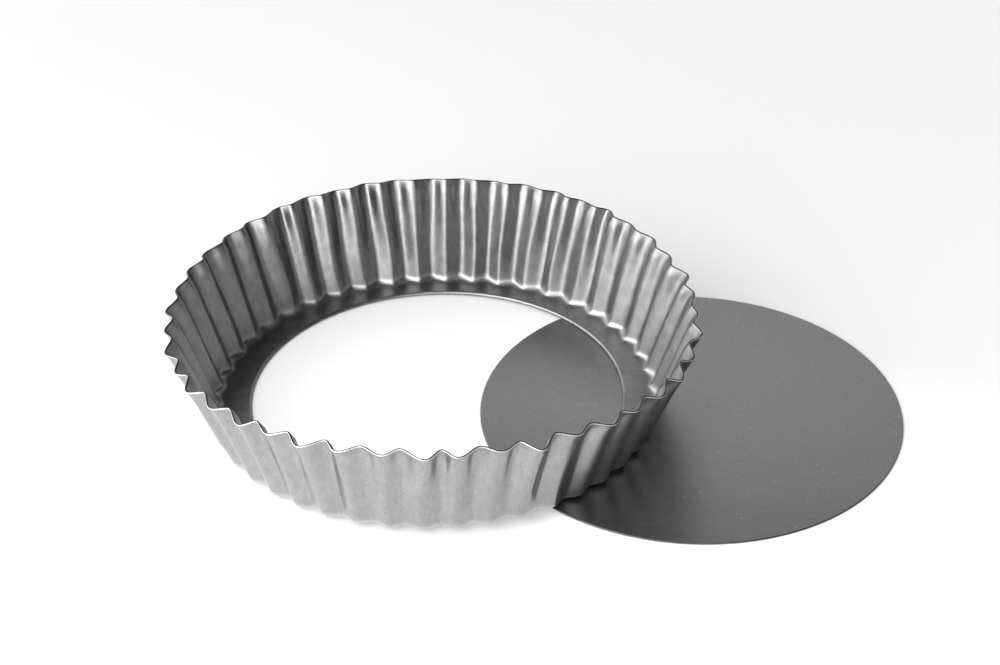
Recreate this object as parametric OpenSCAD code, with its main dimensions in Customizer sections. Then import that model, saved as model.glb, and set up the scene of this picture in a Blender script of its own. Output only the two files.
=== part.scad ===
// Loose-bottomed fluted pie dish: a pressed ring with a fluted wall and a narrow seat, and the
// flat base plate that drops into it. They lie as when the dish is taken apart: the base plate
// flat on the table and drawn out sideways, and the ring standing over part of it.
// Lengths are in millimetres. X points from the ring towards the base plate and Z points up.
// The origin is on the table, below the middle of the whole layout.

/* [Fluted ring] */
// Diameter over the ridges of the flutes at the rim
rim_d = 248; // [236:1:290]
// Diameter of the circle on which the ring stands
foot_d = 204; // [192:1:216]
// Height of the ring at its rim
ring_h = 52; // [30:1:80]
// Number of flutes round the wall
flute_count = 45; // [30:1:60]
// Depth of a flute at the rim, from ridge to groove
rim_flute_depth = 4.2; // [2:0.1:5]
// Depth of a flute where the wall leaves the corner
foot_flute_depth = 2.4; // [1:0.1:4]
// Thickness of the pressed sheet
sheet_t = 0.8; // [0.5:0.05:1]
// Outside radius of the corner between the seat and the wall
corner_r = 4; // [3:0.1:6]
// Height of the flared lip at the top of the wall
lip_h = 4.4; // [3:0.1:8]
// How far the lip leans out over its own height
lip_out = 1.7; // [1:0.1:4]

/* [Seat in the ring] */
// Diameter of the opening inside the seat
seat_hole_d = 178; // [150:1:180]
// Radius of the edge that is rolled down round the opening
roll_r = 1.4; // [1.3:0.1:3]

/* [Base plate] */
// Thickness of the base plate
base_t = 0.8; // [0.5:0.05:1.5]
// Gap all round between the base plate and the ring's corner, once it lies in its seat
seat_gap = 2; // [1:0.1:4]

/* [Layout] */
// Distance that the base plate is drawn out from the ring's centre
drawn_out = 122.4; // [100:0.2:150]
// Clearance between the base plate and the ring that stands over its edge
rest_gap = 0.1; // [0.05:0.05:0.3]

/* [Hidden] */

// Segments of the round base plate
round_fn = 180;
// Phases of one flute at which the skin has points: 0 is the ridge and 180 the groove
flute_phases = [0, 40, 140, 180, 220, 320];

rim_r = rim_d / 2;
foot_r = foot_d / 2;
hole_r = seat_hole_d / 2;
base_r = foot_r - seat_gap;

// The wall's mid line between ridge and groove runs from the corner up to a crease, and the
// lip leaves it there at a flatter angle
rim_mid_r = rim_r - rim_flute_depth / 2;
crease_r = rim_mid_r - lip_out;
// The sheet is trimmed square to the lip, so the rim dips at each ridge, where it leans out
rim_dip = rim_flute_depth / 2 * lip_out / lip_h;
rim_mid_z = ring_h - rim_dip;
crease_z = rim_mid_z - lip_h;
// Lean of the wall and of the lip from upright
wall_lean = atan2(crease_r - foot_r - corner_r, crease_z - corner_r);
lip_lean = atan2(lip_out, lip_h);
// Thickness of the leaning sheet, measured level
wall_level_t = sheet_t / cos(wall_lean);
lip_level_t = sheet_t / cos(lip_lean);
// The flutes deepen in step from the corner to the rim
crease_flute_depth = foot_flute_depth
    + (rim_flute_depth - foot_flute_depth) * (crease_z - corner_r) / (rim_mid_z - corner_r);
// Depth that the flutes have gained halfway round the corner
turn_flute_depth = foot_flute_depth / 2;
// The corner's arc, turned from the level seat to the leaning wall
corner_turn = 90 - wall_lean;

// The ring tips about the foot that stands on the table, until its rolled edge clears the
// base plate where the plate's edge passes below it
contact_x = (pow(drawn_out, 2) + pow(hole_r, 2) - pow(base_r, 2)) / (2 * drawn_out);
ring_tilt = atan2(base_t + rest_gap, foot_r + contact_x);

// Reach of the tipped rim past the ring's centre, and the places of both pieces along X
ridge_z = rim_mid_z - rim_dip;
rim_reach = foot_r + (rim_r - foot_r) * cos(ring_tilt) + ridge_z * sin(ring_tilt);
layout_l = rim_reach + drawn_out + base_r;
ring_x = rim_reach - layout_l / 2;
base_x = ring_x + drawn_out;

// One closed line round the sheet's cross-section, given where the wave of the flutes crosses
// zero. Each station has a radius, a height, the flute's depth, the rim's dip and the level
// thickness that is taken off on the inside
function station(radius, height, depth = 0, dip = 0, peel = 0) = [radius, height, depth, dip, peel];

// A station on an arc round the corner's centre, at a share of its turn
function corner_station(arc_r, turn_share, depth) = station(
    foot_r + arc_r * sin(corner_turn * turn_share),
    corner_r - arc_r * cos(corner_turn * turn_share),
    depth
);

// A station on an arc round the rolled edge's centre, from the level seat down to the table
function roll_station(arc_r, turn) = station(hole_r + roll_r - arc_r * sin(turn), arc_r * cos(turn));

outer_stations = [
    roll_station(roll_r - sheet_t, 90),
    roll_station(roll_r - sheet_t, 45),
    roll_station(roll_r - sheet_t, 0),
    corner_station(corner_r, 0, 0),
    corner_station(corner_r, 1 / 2, turn_flute_depth),
    corner_station(corner_r, 1, foot_flute_depth),
    station(crease_r, crease_z, crease_flute_depth, rim_dip),
    station(rim_mid_r, rim_mid_z, rim_flute_depth, rim_dip)
];

inner_stations = [
    station(rim_mid_r, rim_mid_z, rim_flute_depth, rim_dip, lip_level_t),
    station(crease_r, crease_z, crease_flute_depth, rim_dip, wall_level_t),
    corner_station(corner_r - sheet_t, 1, foot_flute_depth),
    corner_station(corner_r - sheet_t, 1 / 2, turn_flute_depth),
    corner_station(corner_r - sheet_t, 0, 0),
    roll_station(roll_r, 0),
    roll_station(roll_r, 45),
    roll_station(roll_r, 90)
];

stations = concat(outer_stations, inner_stations);

// Turns round the ring, in flutes, at which every station has a point. A ridge points away
// from the base plate
skin_turns = [for (k = [0 : flute_count - 1]) for (phase = flute_phases) k + phase / 360];

// The level thickness grows where the flank of a flute runs aslant
function flank_stretch(s, phase) = norm([1, s[2] / 2 * flute_count * sin(phase) / s[0]]);

function skin_point(s, turn) =
    let (
        phase = 360 * turn,
        angle = 180 + phase / flute_count,
        radius = s[0] + s[2] / 2 * cos(phase) - s[4] * flank_stretch(s, phase),
        height = s[1] - s[3] * cos(phase)
    )
    [radius * cos(angle), radius * sin(angle), height];

// The skin: every station joined to the next, and the last to the first
module fluted_skin() {
    n = len(skin_turns);
    m = len(stations);
    polyhedron(
        points = [for (s = stations) for (turn = skin_turns) skin_point(s, turn)],
        faces = [
            for (j = [0 : m - 1]) for (i = [0 : n - 1])
                let (
                    a = j * n + i,
                    b = j * n + (i + 1) % n,
                    c = (j + 1) % m * n + (i + 1) % n,
                    d = (j + 1) % m * n + i
                )
                each [[a, d, c], [a, c, b]]
        ],
        convexity = 12
    );
}

// The ring, tipped about the foot that stands on the table
module fluted_ring() {
    color("silver")
    translate([ring_x - foot_r, 0, 0])
    rotate([0, -ring_tilt, 0])
    translate([foot_r, 0, 0])
    fluted_skin();
}

// The base plate, a flat disc with a half-round edge
module base_plate() {
    edge_r = base_t / 2;
    color("dimgray")
    translate([base_x, 0, 0])
    rotate_extrude($fn = round_fn)
    polygon(concat(
        [[0, 0]],
        [for (a = [-90 : 30 : 90]) [base_r - edge_r + edge_r * cos(a), edge_r + edge_r * sin(a)]],
        [[0, base_t]]
    ));
}

base_plate();
fluted_ring();
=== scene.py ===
import math

import bpy
import numpy as np
from mathutils import Matrix, Vector


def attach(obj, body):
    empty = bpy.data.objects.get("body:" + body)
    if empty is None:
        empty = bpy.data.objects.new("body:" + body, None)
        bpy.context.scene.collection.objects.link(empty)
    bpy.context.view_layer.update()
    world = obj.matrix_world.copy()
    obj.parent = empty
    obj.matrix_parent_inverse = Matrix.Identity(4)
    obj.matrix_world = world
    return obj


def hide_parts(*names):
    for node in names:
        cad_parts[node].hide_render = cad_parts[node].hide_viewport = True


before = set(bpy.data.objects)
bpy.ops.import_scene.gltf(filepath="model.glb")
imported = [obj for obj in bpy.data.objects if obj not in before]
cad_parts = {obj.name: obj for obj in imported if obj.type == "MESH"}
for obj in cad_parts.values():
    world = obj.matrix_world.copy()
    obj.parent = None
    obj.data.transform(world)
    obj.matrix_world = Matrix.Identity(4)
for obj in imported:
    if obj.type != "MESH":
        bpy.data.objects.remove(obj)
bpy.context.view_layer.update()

MM = 0.001

# Camera: the point of the table that it looks at, and from where, in metres and degrees
IMAGE_W = 1000
SENSOR_W = 36.0
FOCAL_PX = 1974
CAM_TARGET = (-0.0254, 0.0563, 0.0)
CAM_AZIMUTH = 7.87
CAM_ELEVATION = 33.5
CAM_DISTANCE = 0.998
CAM_ROLL = -0.75
CAM_REACH = 50

# Fluted ring, in millimetres and degrees
FLUTES = 45
FIRST_RIDGE = 12.0
FOOT_R = 102.0
RIM_RIDGE_R = 124.0
RIM_GROOVE_R = 119.8
RIM_RIDGE_Z = 49.9
RIM_GROOVE_Z = 52.0
HOLE_R = 89.0
HOLE_SHIFT = (0.7, -0.5)
ROLL_R = 1.4
SHEET_T = 0.8
RING_TILT = 0.3349
RING_X = -49.054

# Corner and foot: the foot is slightly oval and shifted to the front, and its flutes begin at a
# share of their depth, which is full at a share of the corner
CORNER_START_R = 101.0
CORNER_R = 5.0
FOOT_OVAL = 1.2
FOOT_SHIFT = 1.5
FOOT_DEPTH = 2.8
FOOT_START = 0.5
FOOT_FULL = 0.75
FIRST_LEAN = 0.35
LEAN_ROUNDS = 4

# Section of the flutes: sharpness at ridge and groove, and skew towards the groove
FOOT_SHARP = (0.8, 0.97)
WALL_SHARP = (0.78, 0.95)
RIM_SHARP = (0.6, 0.65)
WAVE_SKEW = 1.08

# Lip, the soft bend below it, and the bead on the rim's edge
LIP_H = 3.6
LIP_OUT = 2.3
BEND_FROM = 0.8
BEND_OUT = 0.35
BEAD_R = 0.5
BEAD_OUT = 0.15
BEAD_ANGLES = (-45, -15, 15, 45, 75, 105, 135, 165)

# Pinch: the flanks get rounder from a share of the wall's height upwards, by less round CALM_AT.
# PINCH times the most that PINCH_MEAN and PINCH_VARY give has to stay below 1.
PINCH = 0.95
PINCH_MEAN = 0.75
PINCH_VARY = 0.25
PINCH_SEED = (1.3, 0.5)
PINCH_FROM = 0.4
PINCH_EASE = 1.3
CALM_AT = 145.0
CALM = 0.6

# Unevenness of the pressed sheet: bow in millimetres, sway and turn in degrees over the height
BOW = 0.2
BOW_SEEDS = (1.7, 2.3)
SWAY = 0.3
SWAY_SEEDS = (3.1, 0.9)
SWAY_RETURN = 0.7
TURN_EASE = 1.6
HEIGHT_LIMIT = 1.1
# Turn in degrees and reach in millimetres by which each ridge and groove of the rim is off the
# even round, as the pressed sheet of the photographed ring is
RIDGE_TURNS = (
    -1.2, -1.8, -0.7, -0.1, 0.5, 0.5, 0.3, -0.5, 0.4, 0.2, 0.1, -0.6, 0.7, -0.1, -0.5,
    -1.3, -1.8, 0.0, -0.7, 0.0, -0.7, -0.6, 0.3, 0.0, 0.6, 0.5, -0.1, -0.3, 0.4, -0.9,
    -1.0, -1.1, 0.4, 1.6, 0.4, 1.7, 1.1, 1.9, 1.6, -0.1, -1.0, -2.2, -2.4, -1.2, -1.8,
)
RIDGE_REACHES = (
    -0.8, -0.4, -2.8, -2.3, -3.4, -1.7, -2.8, -1.9, -1.8, -2.4, -2.3, -2.5, -1.2, -0.3, -1.1,
    0.1, 0.1, -0.2, -0.4, -0.2, 0.1, -0.2, 0.9, 0.5, 1.9, 1.3, 2.4, 0.3, -0.5, -3.1,
    -2.1, -4.8, -6.2, -4.0, -4.5, -4.8, 0.4, -1.6, 1.7, 1.7, 3.9, 5.1, 3.6, 3.0, -0.3,
)
GROOVE_TURNS = (
    -2.8, -2.1, -1.5, -0.5, -0.1, -1.1, -0.7, -1.2, -0.2, 0.1, -0.2, 0.0, 0.3, 0.1, -0.5,
    0.1, 0.6, -0.4, -0.5, -0.1, 0.2, 0.6, 1.0, 0.9, 1.5, 0.3, -0.2, 0.0, -0.4, -0.5,
    0.2, 0.1, 0.2, 0.9, 0.9, 1.2, 1.1, 0.7, 0.3, -0.8, -0.7, -1.6, -2.0, -2.4, -3.5,
)
GROOVE_REACHES = (
    -0.2, -2.2, -2.7, -2.7, -3.0, -2.4, -2.8, -2.6, -3.0, -2.6, -2.6, -2.2, -1.6, -1.8, -1.0,
    -0.4, -1.2, -0.4, -0.4, -0.1, 0.3, 0.6, 0.9, 1.9, 2.2, 2.2, 1.6, 0.2, -1.2, -2.2,
    -3.8, -4.1, -4.5, -3.7, -3.7, -2.2, -1.1, 1.0, 3.3, 3.6, 4.5, 4.2, 3.4, 2.6, 1.3,
)

# Mesh density: steps per flute, and rows over each part of the sheet, as counts or shares
STEPS = 24
ROLL_POINTS = 7
SEAT_SHARES = (0.04, 0.12, 0.3, 0.6, 0.9)
CORNER_POINTS = 9
WALL_STEPS = 16
LIP_SHARES = (0.08, 0.3, 0.6, 0.85, 1.0)
BARE_ROWS = 4

# Coatings: texture scales of grain, clouds, streaks and specks, and the noise values they span
FINE_GRAIN = 2200.0
BROAD_CLOUD = 150.0
CLOUD_DETAIL = 4.0
NOISE_SPAN = (0.3, 0.7)
STREAKS = 700.0
STREAK_SQUEEZE = 0.08
SPECK_CELLS = 420.0
SPECK_SIZE = 0.12
SPECK_LIFT = 0.35
ROUGH_VARY = 0.08
BUMP_STRENGTH = 0.15
BUMP_DEPTH = 0.1
# Press marks, which smear reflections up and down the wall, and the corner's painted highlight (its
# tone lifted), by the height over the seat in millimetres
SMEAR_TURN = 0.25
MARKS_HEIGHT = (2.0, 6.0)
SEAT_GLOSS = 1.15
CORNER_HIGHLIGHT = (0.5, 1.5, 3.0, 5.0)
CORNER_HIGHLIGHT_LIFT = 0.4
# Painted shade on the plate, in metres: its tone falls off round a centre, a painted shadow darkens
# it in front of the ring's foot (from the ring's middle, in x and in y), and painted shade darkens
# its edge where it faces sideways
SHADE_FADE_CENTRE = (0.06, 0.01, 0.0)
SHADE_FADE = (0.04, 0.12, 1.0, 0.86)
PAINTED_SHADOW_FOOT = (0.086, 0.108, 0.0, 1.0)
PAINTED_SHADOW_X = (0.045, 0.09, 1.0, 0.0)
PAINTED_SHADOW_Y = (-0.025, 0.02, 1.0, 0.0)
PAINTED_SHADOW_LEFT = 0.7
EDGE_SHADE_FACING = (0.6, 0.97, 0.3, 1.0)

# Soft boxes round the table: name, azimuth, elevation, width in degrees, radiance
LAMP_DISTANCE = 1.8
LAMP_HEIGHT = 0.64
WORLD = 0.02
LAMPS = (
    ("low_left", -90, 14, 58, 3.6),
    ("low_front", -30, 14, 60, 7.0),
    ("high_far_left", -115, 34, 50, 3.4),
    ("high_left", -60, 34, 60, 6.5),
    ("high_front", 0, 34, 60, 4.2),
    ("high_back", 180, 34, 64, 0.9),
    ("top_left", -48, 56, 54, 4.5),
    ("overhead", -20, 80, 60, 1.3),
)

# Floor, in metres: a disc with its rim bent up
FLOOR_R = 3.0
FLOOR_FLAT = 0.9
FLOOR_BEND_R = 0.3
FLOOR_BEND_POINTS = 10
FLOOR_RIM_Z = 0.9
FLOOR_SIDES = 96
FLOOR_TONE = 0.42
FLOOR_ROUGH = 0.9
# Its glow is painted light that falls off along a slope and from side to side, and painted contact
# shade darkens it near what rests on it
GLOW_SLOPE = (0.15, 0.99, 0.0)
GLOW_ALONG = (-0.17, 0.08, 1.08, 0.48)
GLOW_ACROSS = (-0.35, 0.35, 0.86, 1.14)
CONTACT_REACH = 0.011
CONTACT_SAMPLES = 2
CONTACT_SHADE = (0.45, 0.98, 0.3, 1.0)


def camera():
    azimuth, elevation, roll = (math.radians(a) for a in (CAM_AZIMUTH, CAM_ELEVATION, CAM_ROLL))
    back = Vector((math.sin(azimuth) * math.cos(elevation),
                   -math.cos(azimuth) * math.cos(elevation), math.sin(elevation)))
    right = Vector((math.cos(azimuth), math.sin(azimuth), 0.0))
    up = back.cross(right)
    rolled_right = math.cos(roll) * right + math.sin(roll) * up
    rolled_up = back.cross(rolled_right)
    data = bpy.data.cameras.new("camera")
    data.sensor_width = SENSOR_W
    data.lens = FOCAL_PX / IMAGE_W * SENSOR_W
    data.clip_end = CAM_REACH
    cam = bpy.data.objects.new("camera", data)
    bpy.context.collection.objects.link(cam)
    place = Matrix((rolled_right, rolled_up, back)).transposed().to_4x4()
    place.translation = Vector(CAM_TARGET) + back * CAM_DISTANCE
    cam.matrix_world = place
    bpy.context.scene.camera = cam


def mesh_object(name, points, faces):
    mesh = bpy.data.meshes.new(name)
    mesh.from_pydata([tuple(p) for p in points], [], faces)
    mesh.validate()
    mesh.polygons.foreach_set("use_smooth", [True] * len(mesh.polygons))
    mesh.update()
    obj = bpy.data.objects.new(name, mesh)
    bpy.context.collection.objects.link(obj)
    return obj


def flute_wave(t, ridge_sharp, groove_sharp):
    """1 at a ridge, -1 at a groove; the sharper, the straighter the flanks between them."""
    sharp = ridge_sharp * (1 - t) + groove_sharp * t
    return np.arcsin(sharp * np.cos(np.pi * t ** WAVE_SKEW)) / np.arcsin(sharp)


def uneven(factor, start):
    """A value from -1 to 1 for each flute, always the same but in no visible order."""
    return np.sin(np.arange(FLUTES) ** 2 * factor + start)


def ring_points():
    """The middle of the sheet, as rows of points from the rolled edge up to the rim."""
    step = np.arange(FLUTES * STEPS)
    here = step // STEPS
    after = (here + 1) % FLUTES
    share = (step % STEPS) / STEPS * 2          # 0 at the ridge, 1 at the groove, 2 at the next
    falling = share <= 1
    t = np.where(falling, share, 2 - share)     # 0 at a ridge, 1 at a groove

    def mixed(ridges, grooves, ridge_share):
        ridges, grooves = np.array(ridges), np.array(grooves)
        return (np.where(falling, ridges[here], ridges[after]) * ridge_share
                + grooves[here] * (1 - ridge_share))

    foot_wave = flute_wave(t, *FOOT_SHARP)
    wall_wave = flute_wave(t, *WALL_SHARP)
    rim_wave = flute_wave(t, *RIM_SHARP)
    top = (rim_wave + 1) / 2
    pitch = 360 / FLUTES
    at = (FIRST_RIDGE + np.where(falling, here, here + 1) * pitch * (1 - t)
          + (here + 0.5) * pitch * t)
    turn_off = mixed(RIDGE_TURNS, GROOVE_TURNS, 1 - t)
    rim_amp = (RIM_RIDGE_R - RIM_GROOVE_R) / 2
    rim_r = ((RIM_RIDGE_R + RIM_GROOVE_R) / 2 + rim_amp * rim_wave
             + mixed(RIDGE_REACHES, GROOVE_REACHES, top))
    rim_z = (RIM_RIDGE_Z + RIM_GROOVE_Z) / 2 - (RIM_GROOVE_Z - RIM_RIDGE_Z) / 2 * rim_wave
    crease_z = rim_z - LIP_H
    # the flanks' pinch differs from flute to flute
    pinch = PINCH_MEAN + PINCH_VARY * uneven(*PINCH_SEED)[here]
    pinch = pinch * (1 - CALM * np.maximum(0, np.cos(np.radians(at - CALM_AT))) ** 2)
    pinched_wave = flute_wave(t - PINCH * pinch * np.sin(2 * np.pi * t) / (2 * np.pi), *RIM_SHARP)
    crease_r = rim_r - LIP_OUT + rim_amp * (pinched_wave - rim_wave)
    wall_off = rim_amp * (wall_wave - pinched_wave)
    # pressed sheet is never quite even: each ridge and groove bows and sways a little
    bows = BOW * mixed(*(uneven(seed, seed) for seed in BOW_SEEDS), top)
    sways = SWAY * mixed(*(uneven(seed, seed) for seed in SWAY_SEEDS), 1 - t)
    start_r = (CORNER_START_R + FOOT_OVAL * np.cos(2 * np.radians(at))
               - FOOT_SHIFT * np.sin(np.radians(at)))
    # rows of radius, height and share of the opening's shift; first the rolled edge and the seat,
    # from the opening outwards
    rows = []
    roll = ROLL_R - SHEET_T / 2
    roll_r = HOLE_R + ROLL_R
    for a in np.radians(np.linspace(90, 0, ROLL_POINTS)):
        rows.append((roll_r - roll * np.sin(a), roll * np.cos(a), 1))
    for s in SEAT_SHARES:
        rows.append((roll_r + (start_r - roll_r) * s, roll + (SHEET_T / 2 - roll) * s, 1 - s))
    # the corner, up to where it meets the straight wall
    arc = CORNER_R - SHEET_T / 2
    foot_off = FOOT_DEPTH / 2 * foot_wave
    lean = FIRST_LEAN
    for _ in range(LEAN_ROUNDS):
        end_r = start_r + arc * np.cos(lean) + foot_off
        end_z = SHEET_T / 2 + arc * (1 - np.sin(lean))
        lean = np.arctan((crease_r + wall_off - end_r) / (crease_z - end_z))
    for s in np.linspace(0, 1, CORNER_POINTS):
        b = (np.pi / 2 - lean) * s
        ease = FOOT_START + (1 - FOOT_START) * min(1.0, s / FOOT_FULL)
        rows.append((start_r + arc * np.sin(b) + foot_off * ease,
                     SHEET_T / 2 + arc * (1 - np.cos(b)), 0))
    # the wall up to the crease
    for s in np.linspace(0, 1, WALL_STEPS + 1)[1:]:
        bend = BEND_OUT * np.clip((s - BEND_FROM) / (1 - BEND_FROM), 0, 1) ** 2
        rounder = max(0.0, (s - PINCH_FROM) / (1 - PINCH_FROM)) ** PINCH_EASE
        top_r = crease_r + wall_off * (1 - rounder)
        rows.append((end_r + (top_r - end_r) * s + bend + bows * np.sin(np.pi * s),
                     end_z + (crease_z - end_z) * s, 0))
    # the lip up to the rim
    lip_r = top_r + BEND_OUT
    for s in LIP_SHARES:
        rows.append((lip_r + (rim_r - lip_r) * s, crease_z + (rim_z - crease_z) * s, 0))
    grid = []
    for r, z, shift in rows:
        high = np.clip(z / RIM_RIDGE_Z, 0, HEIGHT_LIMIT)
        wander = np.sin(np.pi * high) + SWAY_RETURN * np.sin(2 * np.pi * high)
        angle = np.radians(at + turn_off * high ** TURN_EASE + sways * wander)
        point = (r * np.cos(angle) + HOLE_SHIFT[0] * shift,
                 r * np.sin(angle) + HOLE_SHIFT[1] * shift, z)
        grid.append(np.stack(np.broadcast_arrays(*point), axis=1))
    return np.array(grid)


def grid_normals(grid):
    along = np.roll(grid, -1, axis=1) - np.roll(grid, 1, axis=1)
    across = np.gradient(grid, axis=0)
    normal = np.cross(along, across)
    return normal / np.linalg.norm(normal, axis=2, keepdims=True)


def tipped(grid):
    """The ring's points in metres, tipped about the left end of its foot and moved to its place."""
    tilt = math.radians(RING_TILT)
    x, y, z = grid[..., 0] + FOOT_R, grid[..., 1], grid[..., 2]
    return np.stack([
        RING_X - FOOT_R + x * math.cos(tilt) - z * math.sin(tilt),
        y,
        x * math.sin(tilt) + z * math.cos(tilt),
    ], axis=2).reshape(-1, 3) * MM


def fluted_ring():
    middle = ring_points()
    normal = grid_normals(middle)
    outer = (middle + normal * SHEET_T / 2)[:-1]
    inner = middle - normal * SHEET_T / 2
    rim_dir = middle[-1] - middle[-2]
    rim_dir /= np.linalg.norm(rim_dir, axis=1, keepdims=True)
    edge = [middle[-1] + (BEAD_OUT + BEAD_R * math.cos(a)) * normal[-1]
            + BEAD_R * math.sin(a) * rim_dir for a in np.radians(BEAD_ANGLES)]
    grid = np.array([*outer, *edge, *inner[::-1]])
    m, n = grid.shape[:2]
    faces = []
    for j in range(m):
        for i in range(n):
            a = j * n + i
            b = j * n + (i + 1) % n
            c = (j + 1) % m * n + (i + 1) % n
            d = (j + 1) % m * n + i
            faces.append((a, b, c, d))
    ring = mesh_object("ring", tipped(grid), faces)
    # material of each row of faces: inside, outside, bare outer half of the edge, inner half darker
    # than the inside coating as painted shade
    bands = np.zeros(m, dtype=int)
    bands[:len(outer)] = 1
    bands[len(outer):len(outer) + BARE_ROWS] = 2
    bands[len(outer) + BARE_ROWS:len(outer) + len(edge)] = 3
    ring.data.polygons.foreach_set("material_index", np.repeat(bands, n))
    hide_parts("fluted_ring")
    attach(ring, "ring")
    return ring


def material(name):
    mat = bpy.data.materials.new(name)
    mat.use_nodes = True
    nodes = mat.node_tree.nodes
    nodes.clear()
    out = nodes.new("ShaderNodeOutputMaterial")
    shader = nodes.new("ShaderNodeBsdfPrincipled")
    mat.node_tree.links.new(shader.outputs["BSDF"], out.inputs["Surface"])
    return mat, mat.node_tree, shader


def put_math(tree, kind, first, second):
    node = tree.nodes.new("ShaderNodeMath")
    node.operation = kind
    for slot, value in enumerate((first, second)):
        if isinstance(value, (int, float)):
            node.inputs[slot].default_value = value
        else:
            tree.links.new(value, node.inputs[slot])
    return node.outputs[0]


def times(tree, product, *factors):
    for factor in factors:
        product = put_math(tree, "MULTIPLY", product, factor)
    return product


def put_range(tree, value, low, high, to_low, to_high):
    node = tree.nodes.new("ShaderNodeMapRange")
    node.inputs["From Min"].default_value = low
    node.inputs["From Max"].default_value = high
    node.inputs["To Min"].default_value = to_low
    node.inputs["To Max"].default_value = to_high
    tree.links.new(value, node.inputs["Value"])
    return node.outputs["Result"]


def put_noise(tree, place, scale, detail=2.0):
    node = tree.nodes.new("ShaderNodeTexNoise")
    node.inputs["Scale"].default_value = scale
    node.inputs["Detail"].default_value = detail
    tree.links.new(place, node.inputs["Vector"])
    return node.outputs["Fac"]


def put_vector(tree, kind, place, constant):
    """DISTANCE, DOT_PRODUCT or MULTIPLY of a place and a constant."""
    node = tree.nodes.new("ShaderNodeVectorMath")
    node.operation = kind
    node.inputs[1].default_value = constant
    tree.links.new(place, node.inputs[0])
    return node.outputs["Vector" if kind == "MULTIPLY" else "Value"]


def put_axis(tree, vector, axis):
    node = tree.nodes.new("ShaderNodeSeparateXYZ")
    tree.links.new(vector, node.inputs[0])
    return node.outputs[axis]


def speck_light(tree, place, specks):
    """Light dots in a share of the cells."""
    cells = tree.nodes.new("ShaderNodeTexVoronoi")
    cells.inputs["Scale"].default_value = SPECK_CELLS
    tree.links.new(place, cells.inputs["Vector"])
    pick = tree.nodes.new("ShaderNodeSeparateColor")
    tree.links.new(cells.outputs["Color"], pick.inputs[0])
    return times(tree, put_math(tree, "LESS_THAN", cells.outputs["Distance"], SPECK_SIZE),
                 put_math(tree, "GREATER_THAN", pick.outputs[0], 1 - specks), SPECK_LIFT)


def plate_painted_shade(tree, coord, level):
    """Painted shade: tone that falls off round a centre, a painted shadow in front of the ring's
    foot, and a darker edge where it faces sideways.
    """
    place = coord.outputs["Object"]
    # painted shade: the tone falls off round a centre
    fade = put_range(tree, put_vector(tree, "DISTANCE", place, SHADE_FADE_CENTRE), *SHADE_FADE)
    # painted shadow in front of the ring's foot
    from_ring = put_vector(tree, "DISTANCE", place, (RING_X * MM, 0.0, 0.0))
    patch = times(tree, put_range(tree, put_axis(tree, place, "X"), *PAINTED_SHADOW_X),
                  put_range(tree, put_axis(tree, place, "Y"), *PAINTED_SHADOW_Y),
                  put_range(tree, from_ring, *PAINTED_SHADOW_FOOT))
    # painted shade on the edge where it faces sideways
    facing = put_axis(tree, coord.outputs["Normal"], "Z")
    return times(tree, level, fade, put_range(tree, patch, 0.0, 1.0, 1.0, PAINTED_SHADOW_LEFT),
                 put_range(tree, facing, *EDGE_SHADE_FACING))


def press_marks(tree, place, shader, level, roughness, drawn, streak):
    """Reflections smeared up and down the wall, streaks, and a painted highlight in the corner
    above a glossy seat.
    """
    tangent = tree.nodes.new("ShaderNodeTangent")
    tangent.direction_type = "RADIAL"
    tangent.axis = "Z"
    tree.links.new(tangent.outputs["Tangent"], shader.inputs["Tangent"])
    shader.inputs["Anisotropic Rotation"].default_value = SMEAR_TURN
    # height over the seat, which is tipped a little
    tilt = math.radians(RING_TILT)
    upright = put_vector(tree, "DOT_PRODUCT", place, (-math.sin(tilt), 0.0, math.cos(tilt)))
    height = put_math(tree, "ADD", upright, (RING_X - FOOT_R) * MM * math.sin(tilt))
    streaks = put_noise(tree, put_vector(tree, "MULTIPLY", place, (1.0, 1.0, STREAK_SQUEEZE)),
                        STREAKS)
    wall = [h * MM for h in MARKS_HEIGHT]
    tree.links.new(put_range(tree, height, *wall, 0.0, drawn), shader.inputs["Anisotropic"])
    roughness = times(tree, roughness, put_range(tree, height, *wall, SEAT_GLOSS, 1.0))
    # painted highlight: the tone is lifted in the corner above the seat
    low, full, fading, high = (h * MM for h in CORNER_HIGHLIGHT)
    painted_highlight = times(tree, put_range(tree, height, low, full, 0.0, CORNER_HIGHLIGHT_LIFT),
                 put_range(tree, height, fading, high, 1.0, 0.0))
    level = times(tree, level, put_range(tree, streaks, *NOISE_SPAN, 1 - streak, 1 + streak),
                  put_math(tree, "ADD", painted_highlight, 1.0))
    return level, roughness


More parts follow.
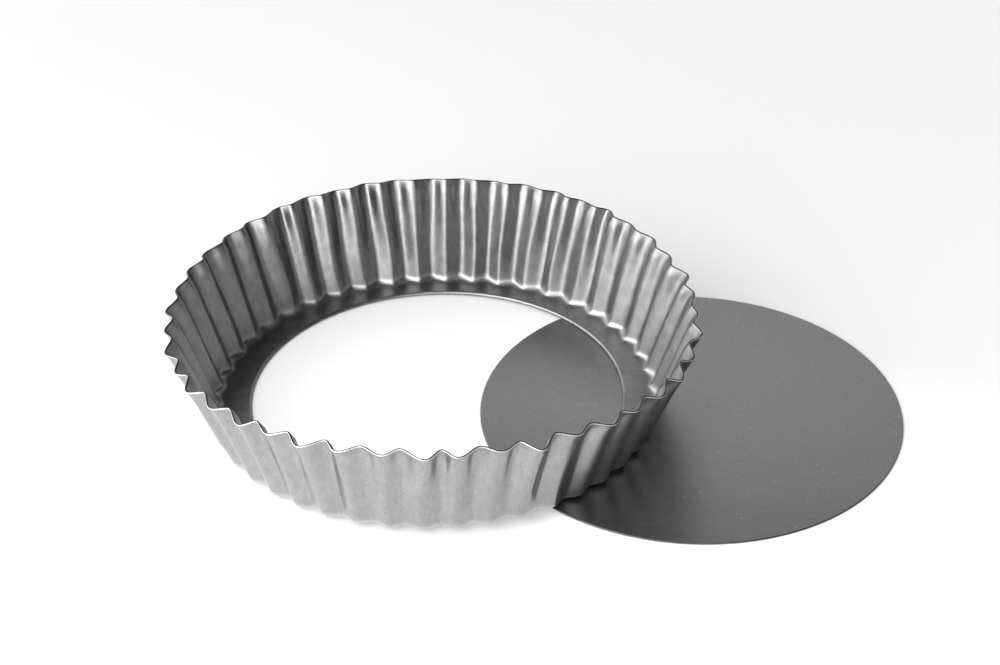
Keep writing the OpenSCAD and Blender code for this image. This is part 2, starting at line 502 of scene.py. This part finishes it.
def coating(name, tone, rough, metallic=1.0, grain=0.08, cloud=0.06, specks=0.0, drawn=0.0,
            streak=0.0, plate=False):
    """Sheet metal of a tone that varies by the shares grain and cloud, with specks in a share of
    its cells; drawn is the strength of the press marks, and plate adds painted shade to the plate."""
    mat, tree, shader = material(name)
    coord = tree.nodes.new("ShaderNodeTexCoord")
    place = coord.outputs["Object"]
    fine = put_noise(tree, place, FINE_GRAIN)
    broad = put_noise(tree, place, BROAD_CLOUD, CLOUD_DETAIL)
    level = times(tree, put_range(tree, fine, *NOISE_SPAN, tone * (1 - grain), tone * (1 + grain)),
                  put_range(tree, broad, *NOISE_SPAN, 1 - cloud, 1 + cloud))
    roughness = put_range(tree, broad, *NOISE_SPAN,
                          rough * (1 - ROUGH_VARY), rough * (1 + ROUGH_VARY))
    if plate:
        # painted shade and painted shadow on the plate
        level = plate_painted_shade(tree, coord, level)
    if specks:
        level = put_math(tree, "ADD", level, speck_light(tree, place, specks))
    if drawn:
        level, roughness = press_marks(tree, place, shader, level, roughness, drawn, streak)
    colour = tree.nodes.new("ShaderNodeCombineColor")
    for channel in range(3):
        tree.links.new(level, colour.inputs[channel])
    bump = tree.nodes.new("ShaderNodeBump")
    bump.inputs["Strength"].default_value = BUMP_STRENGTH
    bump.inputs["Distance"].default_value = BUMP_DEPTH * MM
    tree.links.new(fine, bump.inputs["Height"])
    shader.inputs["Metallic"].default_value = metallic
    tree.links.new(colour.outputs[0], shader.inputs["Base Color"])
    tree.links.new(roughness, shader.inputs["Roughness"])
    tree.links.new(bump.outputs["Normal"], shader.inputs["Normal"])
    return mat


def floor_glow(tree):
    """White where the camera, metal or glass sees it; painted light that falls off across the
    floor, with painted contact shade near what rests on it.
    """
    path = tree.nodes.new("ShaderNodeLightPath")
    place = tree.nodes.new("ShaderNodeTexCoord").outputs["Object"]
    # painted contact shade: darker where the floor is near what rests on it
    contact = tree.nodes.new("ShaderNodeAmbientOcclusion")
    contact.samples = CONTACT_SAMPLES
    contact.inputs["Distance"].default_value = CONTACT_REACH
    shade = put_range(tree, contact.outputs["AO"], *CONTACT_SHADE)
    seen = put_math(tree, "ADD", times(tree, path.outputs["Is Camera Ray"], shade),
                    put_math(tree, "ADD", path.outputs["Is Glossy Ray"],
                             path.outputs["Is Transmission Ray"]))
    # painted light: the glow falls off along a slope and from side to side
    along = put_range(tree, put_vector(tree, "DOT_PRODUCT", place, GLOW_SLOPE), *GLOW_ALONG)
    across = put_range(tree, put_axis(tree, place, "X"), *GLOW_ACROSS)
    return times(tree, seen, times(tree, along, across))


def floor():
    flat_r = FLOOR_R * FLOOR_FLAT
    rows = [(flat_r, 0.0)]
    for a in np.radians(np.linspace(0, 90, FLOOR_BEND_POINTS)[1:]):
        rows.append((flat_r + FLOOR_BEND_R * math.sin(a), FLOOR_BEND_R * (1 - math.cos(a))))
    rows.append((FLOOR_R, FLOOR_RIM_Z))
    points = [(0, 0, 0)]
    for r, z in rows:
        for i in range(FLOOR_SIDES):
            a = 2 * math.pi * i / FLOOR_SIDES
            points.append((r * math.cos(a), r * math.sin(a), z))
    faces = [(0, 1 + i, 1 + (i + 1) % FLOOR_SIDES) for i in range(FLOOR_SIDES)]
    for j in range(len(rows) - 1):
        for i in range(FLOOR_SIDES):
            a = 1 + j * FLOOR_SIDES + i
            b = 1 + j * FLOOR_SIDES + (i + 1) % FLOOR_SIDES
            faces.append((a + FLOOR_SIDES, b + FLOOR_SIDES, b, a))
    obj = mesh_object("floor", points, faces)
    mat, tree, shader = material("floor")
    shader.inputs["Base Color"].default_value = (FLOOR_TONE, FLOOR_TONE, FLOOR_TONE, 1)
    shader.inputs["Roughness"].default_value = FLOOR_ROUGH
    shader.inputs["Specular IOR Level"].default_value = 0.0
    shader.inputs["Emission Color"].default_value = (1, 1, 1, 1)
    tree.links.new(floor_glow(tree), shader.inputs["Emission Strength"])
    obj.data.materials.append(mat)


def soft_lamp(name, azimuth, elevation, width, radiance):
    """A soft box aimed at the origin; azimuth 0 is in front, and grows to the right."""
    turn, rise = math.radians(azimuth), math.radians(elevation)
    place = LAMP_DISTANCE * Vector((math.cos(rise) * math.sin(turn),
                                    -math.cos(rise) * math.cos(turn), math.sin(rise)))
    data = bpy.data.lights.new(name, "AREA")
    data.shape = "RECTANGLE"
    data.size = 2 * LAMP_DISTANCE * math.tan(math.radians(width / 2)) * math.cos(rise)
    data.size_y = LAMP_HEIGHT
    data.energy = radiance * math.pi * data.size * data.size_y
    obj = bpy.data.objects.new(name, data)
    bpy.context.collection.objects.link(obj)
    obj.location = place
    obj.rotation_euler = (-place).to_track_quat("-Z", "Y").to_euler()


def lights():
    world = bpy.data.worlds.new("world")
    bpy.context.scene.world = world
    world.use_nodes = True
    shade = world.node_tree.nodes["Background"]
    shade.inputs["Color"].default_value = (WORLD, WORLD, WORLD, 1)
    shade.inputs["Strength"].default_value = 1.0
    for lamp in LAMPS:
        soft_lamp(*lamp)


camera()
ring = fluted_ring()
for mat in (
    coating("ring_coating", 0.24, 0.36, cloud=0.12, specks=0.02, drawn=0.85, streak=0.1),
    coating("ring_outside", 0.295, 0.34, metallic=0.9, grain=0.18, drawn=0.75, streak=0.06),
    coating("bare_edge", 0.42, 0.28),
    # inner half of the rim's edge, darker than the inside coating as painted shade
    coating("ring_edge_painted_shade", 0.1, 0.35),
):
    ring.data.materials.append(mat)
# the plate's coating carries painted shade
plate_coating = coating("plate_coating", 0.345, 0.34, grain=0.16, specks=0.12, plate=True)
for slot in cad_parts["base_plate"].material_slots:
    slot.material = plate_coating
floor()
lights()
bpy.context.scene.view_settings.view_transform = "Standard"
